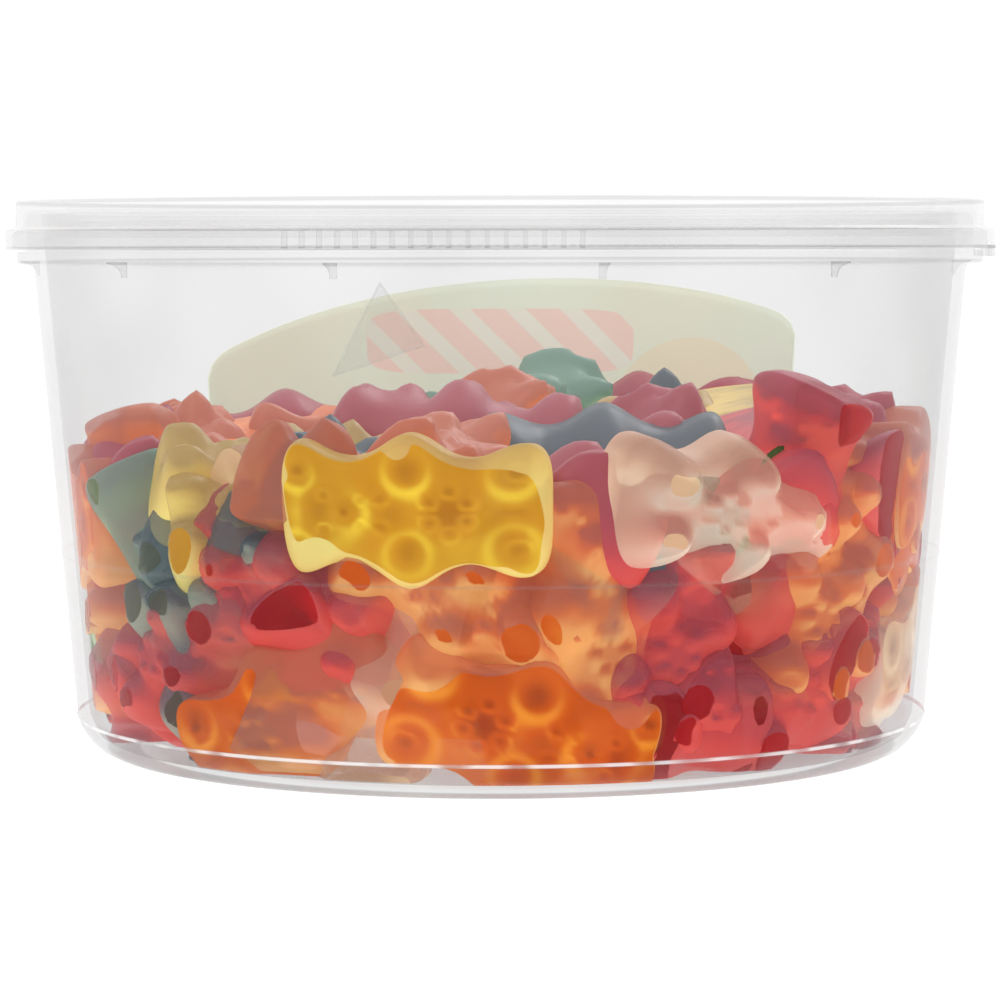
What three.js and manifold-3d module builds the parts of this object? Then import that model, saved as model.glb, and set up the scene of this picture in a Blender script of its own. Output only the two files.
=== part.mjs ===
// A round clear tub of gummy bears with its snap-on lid and a label on the back wall.
// Millimetres, +Z up. The tub stands on z = 0 with its axis on the Z axis, and the front is -Y.
import * as THREE from 'three';
import { mergeVertices } from 'three/addons/utils/BufferGeometryUtils.js';
import Module from 'manifold-3d';

const wasm = await Module();
wasm.setup();

// ---- driving dimensions -------------------------------------------------------------------
const ROUND_STEPS = 60; // facets round the tub and the lid

// The wall is a cone: its outer radius is WALL_FOOT + WALL_SLOPE * z.
const WALL_FOOT = 39.35;
const WALL_SLOPE = 0.0866;
const WALL = 1.1;
const BASE_CREASE = 3.2; // where the wall turns into the rounded base edge
const FOOT_OUTER = 36.5;
const FOOT_INNER = 33;
const FOOT_BREAK = 0.6; // slope from the lifted floor down to the foot ring
const EDGE_RADIUS = 38.5; // middle of the rounded base edge
const EDGE_HEIGHT = 1.1;
const FOOT_HEIGHT = 0.4; // the floor is lifted this much inside the foot ring
const FLOOR_TOP = 1.2;
const FLOOR_RADIUS = 37.2;
const CORNER_TOP = 3.4; // the rounded inside corner runs from the floor up to here
const MOULD_LINE = 18.3; // fine bead all round the wall
const MOULD_BEAD = 0.12;

const FLANGE_BOTTOM = 45.2;
const FLANGE_TOP = 46.1;
const FLANGE_RADIUS = 44.8;
const RIM_TOP = 49.6;
const RIM_OUTER = 43.9;
const RIM_EDGE = 0.3; // corner break of the rim
const FLANGE_EDGE = 0.1; // corner break over the flange
const GUSSET_COUNT = 12;
const GUSSET_OFFSET = 11.3; // degrees from the front to the first gusset
const GUSSET_THICK = 0.65;
const GUSSET_BOTTOM = 44.0;
const GUSSET_REACH = 1.5;
const GUSSET_ROOT = 0.1; // how far a gusset runs up into the flange
const GUSSET_HOLLOW = 0.45; // drop of the hollow in its free edge

const LID_TOP = 50.8;
const LID_RADIUS = 44.9;
const LID_WALL = 0.9;
const LID_EDGE = 0.4; // corner break round the top
const PANEL_STEP = 0.7; // slope from the raised border down to the sunk panel
const SKIRT_RADIUS = 46;
const SKIRT_TOP = 48.1;
const SKIRT_BOTTOM = 46.35;
const SKIRT_INNER = 45.2;
const SKIRT_SHOULDER = 0.2; // the skirt's top edge climbs this much, then rises to the wall
const SHOULDER_RISE = 0.5;
const SKIRT_UNDERCUT = 0.3;
const PLUG_RADIUS = 42;
const PLUG_BOTTOM = 47.4;
const CHANNEL_RADIUS = 44.2;
const CHANNEL_TOP = 49.9;
const PANEL_TOP = 49.8;
const PANEL_RADIUS = 40.1;
const PULL_HALF_ANGLE = 7; // degrees each side of +X
const PULL_BOTTOM = 45.5;
const PULL_ROOT = 0.5; // how far the pull runs up into the skirt
const PULL_INSET = 0.05; // and how far it lies inside the skirt's two faces

const LABEL_GAP = 0.15;
const LABEL_THICK = 0.25;
const LABEL_COLUMNS = 24;
const LABEL_HALF_ANGLE = 44.5; // degrees each side of the back
const LABEL_BOTTOM = 8;
const LABEL_CROWN = 43.1;
const LABEL_CROWN_ANGLE = -8; // the crown stands a little to the right of the back's middle
const LABEL_ARCH = 0.003; // fall of the top edge for each square degree from the crown
const LABEL_CORNER_ANGLE = 4;
const LABEL_CORNER_DROP = 1.8;

const BEAR_LENGTH = 23.5;
const BEAR_WAIST = 4.3; // half width between the bulges
const BEAR_RIM = 1.3; // depth of the flat back behind the widest outline
const BEAR_END = 2; // rounding length at the feet and the ears
const BEAR_SIDE_HEIGHT = 4.3; // of the belly side at its outline
const BEAR_DOME = 1.3; // and how much more along the middle
const BEAR_SQUARENESS = 0.6; // 1 would make every cross-section round
const BEAR_CROWDING = 1.5; // draws the facets toward the feet and the ears
const BEAR_END_HEIGHT = 0.35; // share of the height that is left where the end rounding starts
const BEAR_RINGS = 10;
const BEAR_SIDES = 10;
const PRESS = 0.45; // how far a bear is squashed against the wall
const BEND = 1; // a bear against the wall follows its curve
const HIGHEST = 36.2; // no bear against the front wall stands higher
const COURSE_HIGHEST = 31.8; // nor any round the sides and the back
const CLEAR = 0.3; // gap between the bears and the tub
const SMOOTHED = 0.22; // detail finer than this is left out of the joined pile
const FIRST_DRAW = 20977; // start of the random row
const DRAW_STEP = 16807; // Lehmer's generator
const DRAW_SPAN = 2 ** 31 - 1;
const SCALE_SPREAD = 0.04; // how much bears differ in size,
const TWIST_SPREAD = 0.012; // in twist (radians a millimetre)
const BOW_SPREAD = 0.004; // and in bow along their length
const BOW_LEVEL = 30; // square of the distance from the middle at which a bow changes nothing

const RED = '#b5262b';
const CLEAR_PLASTIC = '#e6e9ea';
const LABEL_CREAM = '#d9d4c6';

const rad = THREE.MathUtils.degToRad;
const wallOuter = (z) => WALL_FOOT + WALL_SLOPE * z;

// Inner radius of the tub at height z, with the rounded corner over the floor.
function wallInner(z) {
  const side = wallOuter(z) - WALL;
  const cornerRadius = wallOuter(CORNER_TOP) - WALL;
  const rise = (z - FLOOR_TOP) / (CORNER_TOP - FLOOR_TOP);
  return Math.min(side, FLOOR_RADIUS + Math.max(0, rise) * (cornerRadius - FLOOR_RADIUS));
}

// ---- solids -------------------------------------------------------------------------------
function toSolid(geometry) {
  geometry.deleteAttribute('normal');
  geometry.deleteAttribute('uv');
  const merged = mergeVertices(geometry, 1e-4);
  return new wasm.Manifold(
    new wasm.Mesh({
      numProp: 3,
      vertProperties: Float32Array.from(merged.attributes.position.array),
      triVerts: Uint32Array.from(merged.index.array),
    }),
  );
}

function toGeometry(solid) {
  const mesh = solid.getMesh();
  const geometry = new THREE.BufferGeometry();
  geometry.setAttribute('position', new THREE.BufferAttribute(mesh.vertProperties, 3));
  geometry.setIndex(new THREE.BufferAttribute(mesh.triVerts, 1));
  geometry.computeVertexNormals();
  return geometry;
}

// Turns a closed outline of [radius, height] points about the Z axis.
function turned(outline, steps = ROUND_STEPS) {
  const points = outline.map(([r, z]) => new THREE.Vector2(r, z));
  const geometry = new THREE.LatheGeometry(points, steps);
  geometry.rotateX(Math.PI / 2);
  return geometry;
}

// Moves every point of a geometry by a function of its old place.
function reshape(geometry, move) {
  const place = geometry.attributes.position;
  const point = new THREE.Vector3();
  for (let i = 0; i < place.count; i += 1) {
    point.fromBufferAttribute(place, i);
    const moved = move(point);
    place.setXYZ(i, moved.x, moved.y, moved.z);
  }
  return geometry;
}

// A point at an azimuth (degrees from the front, positive to +X), a radius and a height.
function polar(azimuth, radius, z) {
  return new THREE.Vector3(
    radius * Math.sin(rad(azimuth)),
    -radius * Math.cos(rad(azimuth)),
    z,
  );
}

function part(name, geometry, colour, roughness) {
  const material = new THREE.MeshStandardMaterial({ color: colour, roughness, metalness: 0 });
  const mesh = new THREE.Mesh(geometry, material);
  mesh.name = name;
  return mesh;
}

// ---- tub ----------------------------------------------------------------------------------
function tubWall() {
  return turned([
    [0, FOOT_HEIGHT],
    [FOOT_INNER - FOOT_BREAK, FOOT_HEIGHT],
    [FOOT_INNER, 0],
    [FOOT_OUTER, 0],
    [EDGE_RADIUS, EDGE_HEIGHT],
    [wallOuter(BASE_CREASE), BASE_CREASE],
    [wallOuter(MOULD_LINE), MOULD_LINE - MOULD_BEAD],
    [wallOuter(MOULD_LINE) + MOULD_BEAD, MOULD_LINE],
    [wallOuter(MOULD_LINE), MOULD_LINE + MOULD_BEAD],
    [wallOuter(FLANGE_BOTTOM), FLANGE_BOTTOM - RIM_EDGE],
    [FLANGE_RADIUS, FLANGE_BOTTOM],
    [FLANGE_RADIUS, FLANGE_TOP],
    [RIM_OUTER, FLANGE_TOP + FLANGE_EDGE],
    [RIM_OUTER, RIM_TOP - RIM_EDGE],
    [RIM_OUTER - RIM_EDGE, RIM_TOP],
    [wallInner(RIM_TOP) + RIM_EDGE, RIM_TOP],
    [wallInner(RIM_TOP), RIM_TOP - RIM_EDGE],
    [wallInner(CORNER_TOP), CORNER_TOP],
    [FLOOR_RADIUS, FLOOR_TOP],
    [0, FLOOR_TOP],
  ]);
}

// A small triangular web between the wall and the underside of the flange.
function gusset(azimuth) {
  const root = wallOuter(GUSSET_BOTTOM) - WALL / 2;
  const web = new THREE.Shape([
    new THREE.Vector2(root, GUSSET_BOTTOM),
    new THREE.Vector2(root + WALL / 2, GUSSET_BOTTOM),
    new THREE.Vector2(root + WALL / 2 + GUSSET_REACH / 3, FLANGE_BOTTOM - GUSSET_HOLLOW),
    new THREE.Vector2(root + WALL / 2 + GUSSET_REACH, FLANGE_BOTTOM + GUSSET_ROOT),
    new THREE.Vector2(root, FLANGE_BOTTOM + GUSSET_ROOT),
  ]);
  const plate = new THREE.ExtrudeGeometry(web, { depth: GUSSET_THICK, bevelEnabled: false });
  plate.translate(0, 0, -GUSSET_THICK / 2);
  plate.rotateX(Math.PI / 2);
  plate.rotateZ(rad(azimuth - 90));
  return toSolid(plate);
}

function makeTub() {
  let tub = toSolid(tubWall());
  for (let i = 0; i < GUSSET_COUNT; i += 1) {
    tub = tub.add(gusset(GUSSET_OFFSET + (i * 360) / GUSSET_COUNT));
  }
  return part('tub', toGeometry(tub), CLEAR_PLASTIC, 0.25);
}

// ---- lid ----------------------------------------------------------------------------------
function makeLid() {
  const shell = turned([
    [0, PANEL_TOP - LID_WALL],
    [PLUG_RADIUS - LID_WALL, PANEL_TOP - LID_WALL],
    [PLUG_RADIUS - LID_WALL, PLUG_BOTTOM],
    [PLUG_RADIUS, PLUG_BOTTOM],
    [PLUG_RADIUS, CHANNEL_TOP],
    [CHANNEL_RADIUS, CHANNEL_TOP],
    [CHANNEL_RADIUS, SKIRT_TOP + SKIRT_SHOULDER],
    [SKIRT_INNER, SKIRT_TOP - SKIRT_UNDERCUT],
    [SKIRT_INNER, SKIRT_BOTTOM],
    [SKIRT_RADIUS, SKIRT_BOTTOM],
    [SKIRT_RADIUS, SKIRT_TOP],
    [SKIRT_RADIUS - LID_EDGE, SKIRT_TOP + SKIRT_SHOULDER],
    [LID_RADIUS, SKIRT_TOP + SHOULDER_RISE],
    [LID_RADIUS, LID_TOP - LID_EDGE],
    [LID_RADIUS - LID_EDGE, LID_TOP],
    [PANEL_RADIUS + PANEL_STEP, LID_TOP],
    [PANEL_RADIUS, PANEL_TOP],
    [0, PANEL_TOP],
  ]);
  // The pull is a short lip that hangs from the skirt on the right.
  const pull = reshape(new THREE.BoxGeometry(1, 1, 1, 4, 1, 1), (p) => polar(
    90 + 2 * PULL_HALF_ANGLE * p.x,
    p.z > 0 ? SKIRT_RADIUS - PULL_INSET : SKIRT_INNER + PULL_INSET,
    p.y > 0 ? SKIRT_BOTTOM + PULL_ROOT : PULL_BOTTOM,
  ));
  return part('lid', toGeometry(toSolid(shell).add(toSolid(turnInside(pull)))), CLEAR_PLASTIC, 0.25);
}

// Flips the faces of a geometry whose reshaping turned it inside out.
function turnInside(geometry) {
  const index = geometry.index;
  for (let i = 0; i < index.count; i += 3) {
    const second = index.getX(i + 1);
    index.setX(i + 1, index.getX(i + 2));
    index.setX(i + 2, second);
  }
  return geometry;
}

// ---- label --------------------------------------------------------------------------------
// Height of the label's arched top edge, with a rounded corner at each end.
function labelTop(angle) {
  const fromEnd = LABEL_HALF_ANGLE - Math.abs(angle);
  const corner = Math.max(0, 1 - fromEnd / LABEL_CORNER_ANGLE);
  const arch = LABEL_CROWN - LABEL_ARCH * (angle - LABEL_CROWN_ANGLE) ** 2;
  return arch - LABEL_CORNER_DROP * (1 - Math.sqrt(1 - corner ** 2));
}

function makeLabel() {
  const sheet = new THREE.BoxGeometry(1, 1, 1, LABEL_COLUMNS, 1, 1);
  reshape(sheet, (p) => {
    const angle = 2 * LABEL_HALF_ANGLE * p.x;
    const z = p.y > 0 ? labelTop(angle) : LABEL_BOTTOM;
    const radius = wallOuter(z) + LABEL_GAP + (p.z > 0 ? LABEL_THICK : 0);
    return polar(180 + angle, radius, z);
  });
  return part('label', toGeometry(toSolid(sheet)), LABEL_CREAM, 0.6);
}

// ---- one bear -----------------------------------------------------------------------------
const bell = (distance, reach) => Math.exp(-((distance / reach) ** 2));
// Like a bell, with a flatter crown and a steeper side.
const bump = (distance, reach) => Math.exp(-((distance / reach) ** 4));

// Bulges of the outline: place along the bear, reach, added half width.
const BULGES = [
  [10, 2.6, 1.45], // ears
  [0.2, 3, 2.35], // arms
  [-9.4, 2.9, 1.4], // feet
];

// Relief of the front: place along, place across, reach, height. Those off the middle come in pairs.
const RELIEF = [
  [5.4, 0, 1.9, 1.6], // snout
  [7.2, 0, 3.4, 1.4], // brow
  [10.2, 3.4, 1.8, 1.1], // ears
  [0.3, 3.7, 2.3, 2.4], // paws
  [-8.8, 3.5, 2.6, 2.8], // feet
  [-3.4, 0, 3.6, 1], // belly
];

function halfWidth(x) {
  return BULGES.reduce((sum, [place, reach, gain]) => sum + gain * bell(x - place, reach), BEAR_WAIST);
}

function frontHeight(x, y) {
  const dome = BEAR_SIDE_HEIGHT + BEAR_DOME * (1 - (y / halfWidth(x)) ** 2);
  return RELIEF.reduce((sum, [place, across, reach, height]) => {
    const off = Math.hypot(x - place, Math.abs(y) - across);
    return sum + height * bump(off, reach);
  }, dome);
}

// Maps a point of the unit sphere, poles on X, to the surface of a bear that lies on its back:
// x runs from the feet to the ears, y across and z out of the belly.
function bearSurface(unit) {
  const fromEnd = Math.acos(Math.abs(unit.x)) / (Math.PI / 2);
  const along = Math.sign(unit.x) * (1 - fromEnd ** BEAR_CROWDING);
  const x = (BEAR_LENGTH / 2) * along;
  const past = Math.max(0, (Math.abs(x) - BEAR_LENGTH / 2 + BEAR_END) / BEAR_END);
  const rounding = Math.cbrt(1 - Math.min(1, past) ** 3);
  const falling = Math.sqrt(1 - Math.min(1, past) ** 2);
  const ring = Math.hypot(unit.y, unit.z) || 1;
  const side = unit.y / ring;
  const rise = unit.z / ring;
  const y = halfWidth(x) * rounding * Math.sign(side) * Math.abs(side) ** BEAR_SQUARENESS;
  const front = frontHeight(x, y) * (BEAR_END_HEIGHT + (1 - BEAR_END_HEIGHT) * falling) * falling;
  const z = rise > 0 ? front * rise ** BEAR_SQUARENESS : BEAR_RIM * falling * rise;
  return new THREE.Vector3(x, y, z);
}

// ---- the pile -----------------------------------------------------------------------------
// Bears against the wall that show at the front: azimuth and height of the middle, then three turns
// in degrees. Spin turns the ears from right (0) to up (90), lean tips them into the tub, and roll
// 0 puts the flat back against the wall and 180 the belly.
const FRONT_BEARS = [
  [-10.8, 24.5, 180, 0, 0],
  [48, 23, 93, -15, -90],
  [34, 23.4, -7, 4, 180],
  [2.7, 5.6, -16, 0, 0],
  [-5, 16.6, -28, 0, 180],
  [25.6, 13.7, 69, 9, 180],
  [-49, 11.4, 25, 0, 176],
  [-30, 6.5, 28, 4, 10],
  [-31, 17, 160, 2, 176],
  [-10.4, 8.2, 76, 4, 92],
  [-61, 15.7, -52, 12, 40],
  [-73, 7.5, 84, 0, 90],
  [60, 18.5, 80, 0, 146],
  [50, 7.5, 20, 0, 170],
  [17.5, 6, 8, 0, 172],
  [34, 4.2, 5, 8, 120],
  [-45, 6.5, 100, -5, 80],
  [-43.5, 15.8, 8, 6, 150],
  [51, 16.5, 80, 3, 170],
  [-38.5, 18, 10, 16, 60],
  [13, 15, 96, 10, 30],
  [-27.5, 20.5, -90, 68, 0],
  [-38, 21, 10, 30, 150],
  [-76, 14, 80, 0, 170],
  [-27, 18, 120, 60, 100],
  [-84, 21.5, 0, 0, 0],
  [-57, 12, 60, 42, 60],
  [45, 16, 150, 25, 110],
  [79, 9, 10, 0, 10],
  [78, 15, 100, 0, 160],
  [80, 25, 0, 4, 0],
  [-82, 20, 100, 5, 170],
  [68, 9, 70, 5, 160],
];

// Bears that lie on top: x and y of the middle, height of the topmost point, heading of the ears in
// plan from +X, lean of the ears upward and roll (0 = on the back).
const TOP_BEARS = [
  [-10.5, -24, 30.2, 205, 8, 0],
  [-5.5, -25, 32.4, 75, 0, 30],
  [-4, -8, 34.2, 170, 6, 40],
  [-21, 17, 32.6, 10, 4, 90],
  [-13, 6, 32, 190, 4, 90],
  [-0.5, 6, 34.6, 88, 34, 30],
  [9, -13, 32.6, 5, 0, 100],
  [2, 22, 36, 70, 20, 60],
  [14, 31, 33.8, 10, 0, 90],
  [16, 15, 32.4, 85, 10, 0],
  [15.5, -10, 33.4, 100, 20, 20],
  [22, -16, 31.9, 95, 10, 160],
  [21.5, 8, 33, 80, 6, 170],
  [27, 17, 33, 120, 8, 60],
  [31.5, -10, 33.4, 100, 14, 40],
  [-33.5, 4, 31.5, 80, 14, 30],
  [-33.5, -4, 30.8, 100, 8, 20],
  [-19.5, -17, 31.2, 8, 0, 20],
  [-29, 1, 31.2, 95, 10, 0],
  [-24, 8, 31, 60, 6, 180],
  [35, -7, 29, 85, 10, 60],
  [11, 5, 32.6, 20, 10, 40],
  [7, -23, 29.6, 90, 0, 30],
  [6, -22, 25, 95, 0, 60],
];

// The rest follows a rule: courses of bears round the sides and the back, and rings on top.
const COURSE_HEIGHTS = [6.5, 14.5, 22.5];
const PER_COURSE = 9;
const COURSE_START = 88;
const COURSE_SPAN = 187; // degrees round the back from COURSE_START
const COURSE_JITTER = 0.2; // of the space that each bear has
const HEIGHT_JITTER = 1.5;
const COURSE_LEAN = 12;
const LEAN_JITTER = 14;
const TOP_RINGS = [[30, 10], [17, 6], [3, 1]]; // radius, bears
const TOP_HEIGHT = 31.8;
const TOP_SLOPE = 0.03; // the pile rises to the right
const RING_FRONT = -5; // no ring bear lies nearer the front than this y
const RING_TURN = 12; // degrees that a ring's bear may stray along its ring
const RING_LEAN = 10;
const SPACING = 12.5; // a ring's bear is left out when another lies nearer than this
const CORE_STEPS = 24; // facets round the core
// Outline of the middle of the pile, which carries the bears round it: radius, height.
const CORE = [[0, 1.6], [33, 1.6], [35, 6], [36, 15], [35.5, 24], [33, 26], [20, 27.5], [0, 28]];

let drawn = FIRST_DRAW;
// A repeatable random number from -1 to 1.
function draw() {
  drawn = (drawn * DRAW_STEP) % DRAW_SPAN;
  return (2 * drawn) / DRAW_SPAN - 1;
}

// The bear's own axes, from a right-handed frame whose third axis points at what it lies on.
function bearAxes(right, up, out, spin, lean, roll) {
  const mix = (a, p, b, q) => a.clone().multiplyScalar(p).addScaledVector(b, q);
  const level = mix(right, Math.cos(rad(spin)), up, Math.sin(rad(spin)));
  const across = mix(right, -Math.sin(rad(spin)), up, Math.cos(rad(spin)));
  const along = mix(level, Math.cos(rad(lean)), out, -Math.sin(rad(lean)));
  const toward = mix(out, Math.cos(rad(lean)), level, Math.sin(rad(lean)));
  const front = mix(toward, -Math.cos(rad(roll)), across, Math.sin(rad(roll)));
  return { along, front, side: front.clone().cross(along) };
}

function keepInside(point) {
  point.z = Math.max(point.z, FLOOR_TOP + CLEAR);
  const radius = Math.hypot(point.x, point.y);
  const limit = wallInner(point.z) - CLEAR;
  if (radius > limit) {
    point.x *= limit / radius;
    point.y *= limit / radius;
  }
  return point;
}

// Scale, twist and bow of one bear: no two are quite alike.
function someForm() {
  return { scale: 1 + SCALE_SPREAD * draw(), twist: TWIST_SPREAD * draw(), bow: BOW_SPREAD * draw() };
}

function formed(unit, { scale, twist, bow }) {
  const point = bearSurface(unit);
  const lift = bow * (point.x ** 2 - BOW_LEVEL);
  point.applyAxisAngle(new THREE.Vector3(1, 0, 0), twist * point.x);
  point.z += lift;
  return point.multiplyScalar(scale);
}

function turnBear(point, axes) {
  return new THREE.Vector3()
    .addScaledVector(axes.along, point.x)
    .addScaledVector(axes.side, point.y)
    .addScaledVector(axes.front, point.z);
}

function wallBear([azimuth, height, spin, lean, roll], form, highest) {
  const tilt = Math.atan(WALL_SLOPE);
  const level = polar(azimuth, 1, 0);
  const right = polar(azimuth + 90, 1, 0);
  const up = level.clone().multiplyScalar(Math.sin(tilt)).setZ(Math.cos(tilt));
  const out = right.clone().cross(up);
  const axes = bearAxes(right, up, out, spin, lean, roll);
  const radius = wallInner(height);
  const start = polar(azimuth, radius, height);
  const bent = (unit) => {
    const turned = turnBear(formed(unit, form), axes);
    const sideways = turned.dot(right);
    return turned.addScaledVector(out, (-BEND * sideways ** 2) / (2 * radius)).add(start);
  };
  // The bear moves in from the wall until its outermost point is squashed by PRESS.
  const points = bearPoints().map(bent);
  const reach = (p) => Math.hypot(p.x, p.y) - wallInner(Math.max(p.z, CORNER_TOP));
  const shift = PRESS - Math.max(...points.map(reach));
  const drop = Math.min(0, highest - Math.max(...points.map((p) => p.z + out.z * shift)));
  return (unit) => {
    const point = bent(unit).addScaledVector(out, shift);
    point.z += drop;
    return keepInside(point);
  };
}

function topBear([x, y, top, heading, lean, roll], form) {
  const right = new THREE.Vector3(Math.cos(rad(heading)), Math.sin(rad(heading)), 0);
  const up = new THREE.Vector3(right.y, -right.x, 0);
  const axes = bearAxes(right, up, new THREE.Vector3(0, 0, -1), 0, lean, roll);
  const laid = (unit) => turnBear(formed(unit, form), axes);
  const highest = Math.max(...bearPoints().map((unit) => laid(unit).z));
  const middle = new THREE.Vector3(x, y, top - highest);
  return (unit) => keepInside(laid(unit).add(middle));
}

function unitBall() {
  const ball = new THREE.SphereGeometry(1, BEAR_SIDES, BEAR_RINGS);
  ball.rotateZ(Math.PI / 2);
  return ball;
}

function bearPoints() {
  const place = unitBall().attributes.position;
  return Array.from({ length: place.count }, (_, i) => new THREE.Vector3().fromBufferAttribute(place, i));
}

function courseBears() {
  const bears = [];
  for (const height of COURSE_HEIGHTS) {
    for (let i = 0; i < PER_COURSE; i += 1) {
      const azimuth = COURSE_START + ((i + 0.5 + COURSE_JITTER * draw()) * COURSE_SPAN) / PER_COURSE;
      const middle = height + HEIGHT_JITTER * draw();
      const spin = 180 * draw();
      const lean = COURSE_LEAN + LEAN_JITTER * draw();
      bears.push([azimuth, middle, spin, lean, 180 * draw()]);
    }
  }
  return bears;
}

function ringBears() {
  const bears = [];
  for (const [radius, count] of TOP_RINGS) {
    for (let i = 0; i < count; i += 1) {
      const angle = (i * 360) / count + RING_TURN * draw();
      const x = radius * Math.cos(rad(angle));
      const y = radius * Math.sin(rad(angle));
      const top = TOP_HEIGHT + TOP_SLOPE * x + draw();
      const bear = [x, y, top, 180 * draw(), RING_LEAN * draw(), 180 * draw()];
      const near = [...TOP_BEARS, ...bears].some(([a, b]) => Math.hypot(a - x, b - y) < SPACING);
      if (y > RING_FRONT && !near) {
        bears.push(bear);
      }
    }
  }
  return bears;
}

function makeBears() {
  const placedAll = (bears, placed, highest) => (
    bears.map((bear) => placed(bear, someForm(), highest))
  );
  const courses = courseBears();
  const moves = [
    ...placedAll(FRONT_BEARS, wallBear, HIGHEST),
    ...placedAll(courses, wallBear, COURSE_HIGHEST),
    ...placedAll([...TOP_BEARS, ...ringBears()], topBear),
  ];
  let pile = toSolid(turned(CORE, CORE_STEPS));
  for (const move of moves) {
    pile = pile.add(toSolid(reshape(unitBall(), move)));
  }
  // Only the outer skin is kept: sealed hollows are filled and loose scraps dropped.
  const skins = pile.asOriginal().simplify(SMOOTHED).decompose().sort((a, b) => b.volume() - a.volume());
  return part('bears', toGeometry(skins[0]), RED, 0.5);
}

const group = new THREE.Group();
group.add(makeTub(), makeLid(), makeLabel(), makeBears());

export default group;
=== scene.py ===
import math
from collections import namedtuple

import bpy
import numpy as np
from mathutils import Euler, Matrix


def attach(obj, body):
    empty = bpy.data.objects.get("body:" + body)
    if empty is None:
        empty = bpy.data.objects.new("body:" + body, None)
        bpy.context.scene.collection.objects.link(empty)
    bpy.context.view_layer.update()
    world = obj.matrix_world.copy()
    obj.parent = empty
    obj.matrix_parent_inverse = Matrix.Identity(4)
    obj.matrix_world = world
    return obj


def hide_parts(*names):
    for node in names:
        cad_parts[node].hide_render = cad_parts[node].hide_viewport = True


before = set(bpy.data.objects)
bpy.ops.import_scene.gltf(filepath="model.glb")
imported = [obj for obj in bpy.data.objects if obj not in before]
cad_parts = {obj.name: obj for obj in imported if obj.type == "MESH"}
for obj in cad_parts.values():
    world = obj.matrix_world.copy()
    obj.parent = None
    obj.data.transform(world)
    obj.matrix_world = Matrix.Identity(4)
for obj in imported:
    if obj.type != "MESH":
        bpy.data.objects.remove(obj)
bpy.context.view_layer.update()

MM = 0.001  # lengths below are millimetres in the CAD frame, and turn into metres in mesh_piece

# ---- the tub, as in the solids --------------------------------------------------------------
WALL_FOOT, WALL_SLOPE, WALL = 39.35, 0.0866, 1.1  # outer radius at z = 0, its growth, thickness
FOOT_INNER, FOOT_HEIGHT = 33.0, 0.4
FLOOR_TOP, FLOOR_RADIUS, CORNER_TOP = 1.2, 37.2, 3.4
BASE_CREASE = 3.2  # where the wall turns into the rounded base edge
MOULD_LINE = 18.3  # fine bead all round the wall
FLANGE_BOTTOM, FLANGE_TOP, FLANGE_RADIUS = 45.2, 46.1, 44.8
RIM_TOP, RIM_OUTER = 49.6, 43.9
GUSSET_OFFSET, GUSSET_STEP, GUSSET_BOTTOM = 11.3, 30, 44.0
LID_TOP, LID_RADIUS, PANEL_TOP = 50.8, 44.9, 49.8
PLUG_RADIUS, PLUG_BOTTOM, CHANNEL_RADIUS = 42, 47.4, 44.2
SKIRT_TOP, SKIRT_BOTTOM, SKIRT_INNER = 48.1, 46.35, 45.2
LABEL_GAP, LABEL_THICK = 0.15, 0.25
LABEL_HALF_ANGLE = 44.5  # degrees each side of the back
LABEL_BOTTOM, LABEL_CROWN = 8, 43.1
LABEL_CROWN_ANGLE = -8  # the crown stands a little to the right of the back's middle
LABEL_ARCH = 0.003  # fall of the top edge for each square degree from the crown
LABEL_CORNER_ANGLE, LABEL_CORNER_DROP = 4, 1.8

# ---- and what only shows here ---------------------------------------------------------------
TRIANGLE = ((-9.9, 43.6), (-13.8, 36.0), (-6.3, 38.5))  # x and z of the frosted triangle's corners
TOUCH = 0.02  # gap between a pressed bear and the wall
STEP_BACK = 0.012  # and how much more each next bear leaves
DEEP_GAP = 6  # the second layer stays this far inside the wall


def wall_outer(z):
    return WALL_FOOT + WALL_SLOPE * z


def wall_inner(z):
    """Inner radius at height z, with the rounded corner over the floor."""
    side = wall_outer(z) - WALL
    rise = np.maximum(0, (z - FLOOR_TOP) / (CORNER_TOP - FLOOR_TOP))
    corner = FLOOR_RADIUS + rise * (wall_outer(CORNER_TOP) - WALL - FLOOR_RADIUS)
    return np.minimum(side, corner)


def polar(azimuth, radius, z):
    """A point at an azimuth in degrees from the front, positive to +X."""
    a = np.radians(azimuth)
    shape = np.broadcast(a, radius, z).shape
    parts = (radius * np.sin(a), -radius * np.cos(a), z)
    return np.stack([np.broadcast_to(p, shape) for p in parts], axis=-1).astype(float)


# ---- meshes ---------------------------------------------------------------------------------
def mesh_piece(name, points, faces, material, replaced=(), marks=None):
    """A smooth-shaded piece from points in millimetres, with optional numbers for each point."""
    mesh = bpy.data.meshes.new(name)
    mesh.from_pydata((np.asarray(points) * MM).tolist(), [], faces)
    mesh.update()
    for mark, values in (marks or {}).items():
        mesh.attributes.new(mark, "FLOAT", "POINT").data.foreach_set("value", values)
    mesh.polygons.foreach_set("use_smooth", np.ones(len(mesh.polygons), bool))
    for m in material if isinstance(material, (list, tuple)) else [material]:
        mesh.materials.append(m)
    piece = bpy.data.objects.new(name, mesh)
    bpy.context.scene.collection.objects.link(piece)
    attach(piece, "root")
    if replaced:
        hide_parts(*replaced)
    return piece


def grid_faces(rows, columns, first=0, closed=True):
    """Quads of a grid of rows x columns points, closed round its columns."""
    last = columns if closed else columns - 1
    faces = []
    for i in range(rows - 1):
        a, b = first + i * columns, first + (i + 1) * columns
        for j in range(last):
            k = (j + 1) % columns
            faces.append((a + j, a + k, b + k, b + j))
    return faces


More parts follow.
